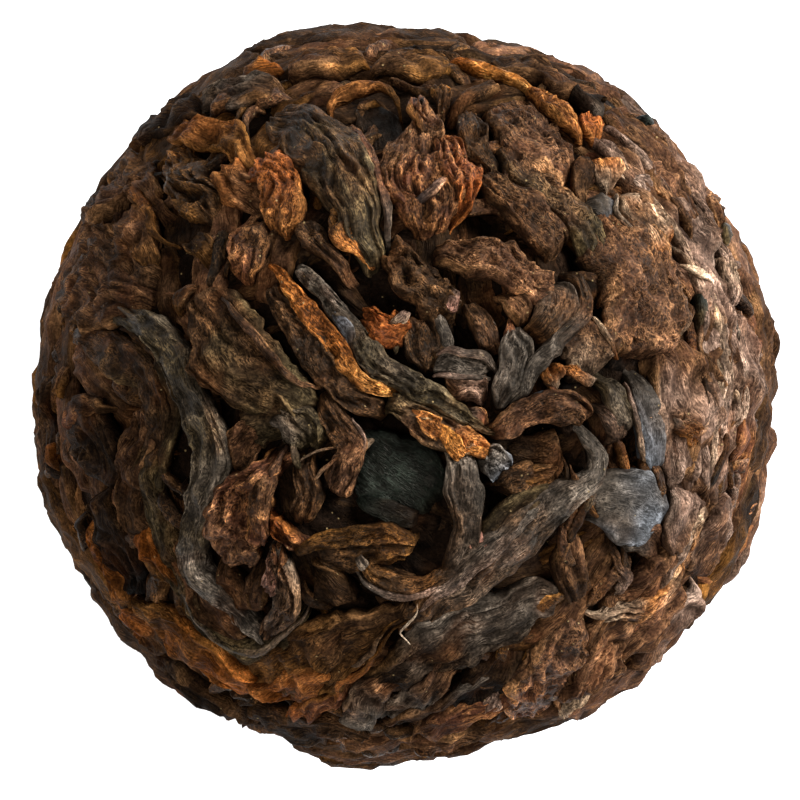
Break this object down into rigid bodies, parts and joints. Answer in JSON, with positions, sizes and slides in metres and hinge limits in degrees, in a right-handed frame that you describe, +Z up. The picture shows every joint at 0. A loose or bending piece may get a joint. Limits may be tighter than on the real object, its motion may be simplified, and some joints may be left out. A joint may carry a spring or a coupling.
{
  "type": "pu-erh tea pearl",
  "caption": "Ball of dried, pressed dark tea leaves, rolled round a knot on top, with a small flat spot to rest on; for brewing whole.",
  "frame": {"origin": "centre of the flat spot that the ball rests on", "axes": "+Z up through the gathered knot that shows on top; +X to the picture's right and +Y to its top"},
  "size_m": [0.0251, 0.0248, 0.0241],
  "materials": {
    "dried_tea_leaf": "dry, fibrous, low sheen"
  },
  "bodies": {
    "root": {"tea_pearl": "dried_tea_leaf"}
  },
  "joints": []
}
